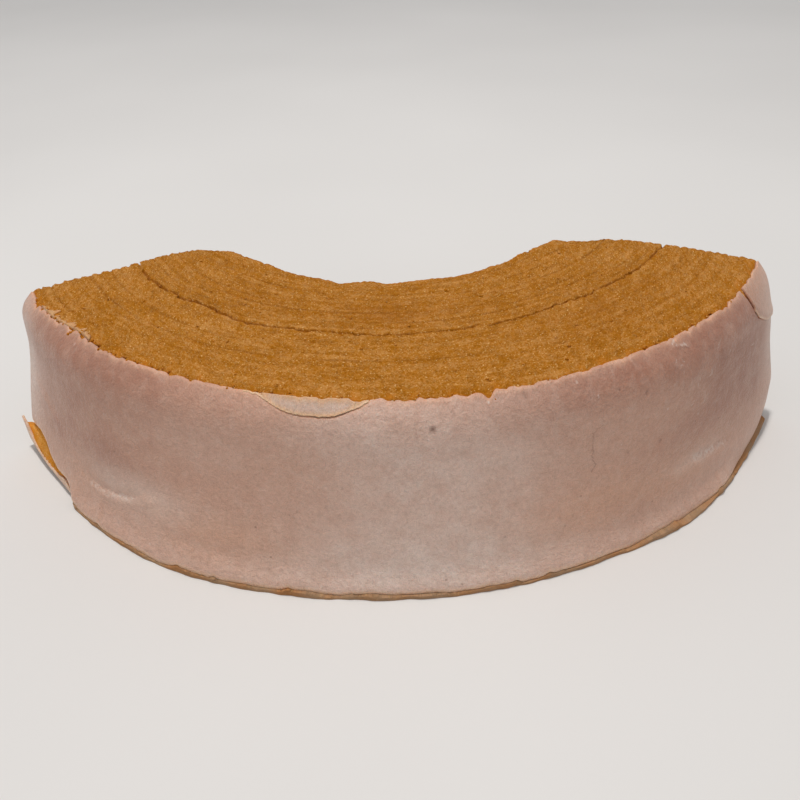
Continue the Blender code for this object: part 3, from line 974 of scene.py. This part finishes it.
strip = {
    "columns": 130,
    "rows": 26,
    "thickness": 0.55,  # mm
    # mm it stands further off and its edge higher than the solid's, angle, spread
    "bulges": [(-0.4, -51, 4)],
    "rises": [(1.3, -49.0, 1.5)],
    "crumbReach": (-61.6, -47.5),  # torn crumb fills the gap behind it between these angles
    "crumbOver": 0.6,  # mm its top lies above the coat's torn edge
    "crumbUnder": 0.25,  # mm its top lies below the strip's edge
    "crumbSink": 2.6,  # mm its top sinks at the left end, over as many degrees
}


def stripRadius(angle, t):
    return stripSheet["radius"](angle, t) + hills(strip["bulges"], angle) * mm


def buildStrip():
    buildSheet("glazeStrip", "glaze_flake", {
        **stripSheet, **strip,
        "high": lambda angle: stripSheet["high"](angle) + hills(strip["rises"], angle) * mm,
        "radius": lambda angle, z, t: stripRadius(angle, t) + 0.6 * coatRelief(angle, z) * mm,
        "lip": lambda above: 0.55,
    }, chipMaterial)


def buildStripCrumb():
    # a wedge from the wall to the strip, its top torn between the coat's edge and the strip's
    bm = bmesh.new()
    bmesh.ops.create_cube(bm, size=1.0)
    for axis, cuts in ((0, 70), (1, 8), (2, 10)):
        normal = Matrix.Identity(3)[axis]
        for i in range(1, cuts):
            bmesh.ops.bisect_plane(bm, geom=bm.verts[:] + bm.edges[:] + bm.faces[:], dist=1e-7,
                                   plane_co=normal * (i / cuts - 0.5), plane_no=normal)
    places, tones = dataLayers(bm, "crumb")
    start, end = strip["crumbReach"]
    for vert in bm.verts:
        u, v, w = vert.co + Vector((0.5, 0.5, 0.5))
        angle = start + u * (end - start)
        foot, stripTop = stripSheet["low"](angle), stripSheet["high"](angle)
        wallTop = coatSheet["low"](angle) + strip["crumbOver"] * mm
        top = wallTop + (stripTop - strip["crumbUnder"] * mm - wallTop) * (1 - v)
        sunk = 1 - ease(angle, start, start + strip["crumbSink"])
        top -= strip["crumbSink"] * mm * sunk * (0.35 + 0.65 * v)
        z = foot + 0.2 * mm + w * (top - foot - 0.2 * mm)
        t = min(1.0, max(0.0, (z - foot) / (stripTop - foot)))
        outer = stripRadius(angle, t) - 0.5 * strip["thickness"] * mm
        inner = coatRadius(angle, z) - mm
        radius = outer + (inner - outer) * v
        place = Vector((radius / mm, arcOf(angle, 97), z / mm))
        rough = 0.28 * wave(*(place / 0.8), seed=61) + 0.15 * wave(*(place / 0.35), seed=63)
        rough *= w * (1 - abs(2 * v - 1))
        vert[places] = place
        vert[tones] = (0.35 + 0.6 * wave(*(place / 1.2), seed=65), 0.0, 0.0)
        vert.co = ringPoint(angle, radius, max(0.15 * mm, z + rough * mm))
    bmesh.ops.recalc_face_normals(bm, faces=bm.faces)
    finishPiece("stripCrumb", bm, tornMaterial, "flake_sponge", 75)


scatter = {
    "seed": 7,
    "rimCrumbs": 170,
    "topCrumbs": 120,
    "crumbSize": (0.13, 0.36),  # mm, half across
    "wallCrumbs": [(-47.3, 37.5), (9.5, 37.1)],  # angle, z
    "smear": (-49.5, 6.5, 2.0, 0.12),  # angle, half length in degrees, mm inwards, mm up
}


def addLump(bm, place, sizes, turn, rough, seed):
    # a small ball, squeezed to its sizes and roughened
    shape = Matrix.LocRotScale(place, turn, [size * mm for size in sizes])
    made = bmesh.ops.create_icosphere(bm, subdivisions=2, radius=1.0)["verts"]
    for vert in made:
        vert.co *= 1 + rough * wave(*(vert.co * 1.3), seed=seed)
    bmesh.ops.transform(bm, matrix=shape, verts=made)
    return made


def buildLooseCrumbs():
    # crumbs that the knife dragged over the coat's edge, and others lying on the cut
    draw = random.Random(scatter["seed"])
    bm = bmesh.new()
    places, tones = dataLayers(bm, "crumb")
    spots = []
    for i in range(scatter["rimCrumbs"]):
        angle = draw.uniform(-59, 50) if draw.random() < 0.6 else draw.gauss(-48, 5)
        z = ring["height"] / mm - coatMissing(angle) - draw.uniform(-0.02, 0.3)
        radius = coatRadius(angle, z * mm) / mm - draw.uniform(0.25, 0.9)
        spots.append((angle, radius, z, draw.uniform(0.2, 0.7)))
    for i in range(scatter["topCrumbs"]):
        radius = draw.uniform(48, 88)
        spots.append((draw.uniform(-56, 56), radius, ring["height"] / mm, draw.uniform(0, 0.3)))
    spots += [(angle, coatRadius(angle, z * mm) / mm, z, 0.6) for angle, z in scatter["wallCrumbs"]]
    for angle, radius, z, orange in spots:
        size = draw.uniform(*scatter["crumbSize"])
        sizes = [size * draw.uniform(0.7, 1.3) for i in range(3)]
        turn = Euler([draw.uniform(0, math.pi) for i in range(3)])
        place = ringPoint(angle, radius * mm, z * mm)
        for vert in addLump(bm, place, sizes, turn, 0.5, draw.uniform(0, 90)):
            vert[places] = vert.co / mm
            vert[tones] = (orange, 0.0, 0.0)
    finishPiece("looseCrumbs", bm, crumbMaterial, None, 60)


def buildSmears():
    # glaze that the knife pulled inwards over the edge of the cut, thin and ragged
    bm = bmesh.new()
    places, tones = dataLayers(bm, "coat")
    middle, half, reach, lift = scatter["smear"]
    bmesh.ops.create_grid(bm, x_segments=round(14 * half), y_segments=7, size=0.5)
    for vert in bm.verts:
        angle = middle + 2 * vert.co.x * half
        inwards = vert.co.y + 0.5
        arc = arcOf(angle, 89)
        ragged = 0.45 + 1.3 * wave(arc / 1.9, seed=81) + 0.8 * wave(arc / 0.7, seed=83)
        width = max(0.06, reach * ragged) * (1 - abs(2 * vert.co.x) ** 4)
        radius = coatRadius(angle, ring["height"]) / mm - 0.1 - width * inwards
        rise = 0.03 + lift * hill(inwards, 0.3, 0.3) + 0.1 * wave(arc / 0.8, inwards * 2, seed=85)
        rise -= (coatMissing(angle) + 0.15) * (1 - ease(inwards, 0.0, 0.3))  # drapes over the edge
        vert[places] = (arc, 30 + 2 * inwards, 0)
        vert[tones] = (0.0, 0.5 * (1 - inwards), 0.6 * inwards)
        vert.co = ringPoint(angle, radius * mm, ring["height"] + rise * mm)
    bmesh.ops.recalc_face_normals(bm, faces=bm.faces)
    thicken(finishPiece("glazeSmears", bm, smearMaterial, None, 60), 0.2, 0.0)


buildSponge()
buildCoat()
buildChip()
buildScale()
buildStrip()
buildStripCrumb()
buildLooseCrumbs()
buildSmears()
print("pieces built")


# Floor, light and camera

studio = {
    "floorSize": 6.0,  # metres
    "sky": "#FBFBFC",
    "skyStrength": 0.5,
    "keyPlace": (-0.06, 0.06, 0.8),  # nearly overhead, a little to the left
    "keyAim": (0, 0.01, 0.02),
    "keySize": 0.05,
    "keyPower": 3.5,
    "keyColour": "#FFFCF8",
}


def aim(made, place, forward, roll=0.0):
    made.location = place
    made.rotation_mode = "QUATERNION"
    turn = Quaternion((0, 0, 1), math.radians(roll))
    made.rotation_quaternion = forward.to_track_quat("-Z", "Y") @ turn


def buildStudio():
    bm = bmesh.new()
    bmesh.ops.create_grid(bm, x_segments=1, y_segments=1, size=studio["floorSize"] / 2)
    addMesh("floor", bm, makeFloor())
    world = bpy.data.worlds.new("soft room")
    world.use_nodes = True
    sky = world.node_tree.nodes["Background"]
    sky.inputs["Color"].default_value = linearColour(studio["sky"])
    sky.inputs["Strength"].default_value = studio["skyStrength"]
    bpy.context.scene.world = world
    bpy.context.scene.view_settings.view_transform = "Standard"

    light = bpy.data.lights.new("key", "AREA")
    light.shape = "DISK"
    light.size = studio["keySize"]
    light.energy = studio["keyPower"]
    light.color = linearColour(studio["keyColour"])[:3]
    place = Vector(studio["keyPlace"])
    aim(addObject("key", light), place, Vector(studio["keyAim"]) - place)


view = {
    "place": (-0.0043410, -0.1407255, 0.1213083),
    "yaw": 1.3572,  # degrees towards +X
    "down": 34.6669,
    "roll": -1.829,
    "lens": 38.25,
}


def buildCamera():
    camera = bpy.data.cameras.new("camera")
    camera.sensor_width = 36.0
    camera.lens = view["lens"]
    camera.clip_start = 5 * mm
    yaw, down = math.radians(view["yaw"]), math.radians(view["down"])
    forward = Vector((math.sin(yaw) * math.cos(down), math.cos(yaw) * math.cos(down),
                      -math.sin(down)))
    eye = addObject("camera", camera)
    aim(eye, view["place"], forward, view["roll"])
    bpy.context.scene.camera = eye


buildStudio()
buildCamera()
print("studio ready")
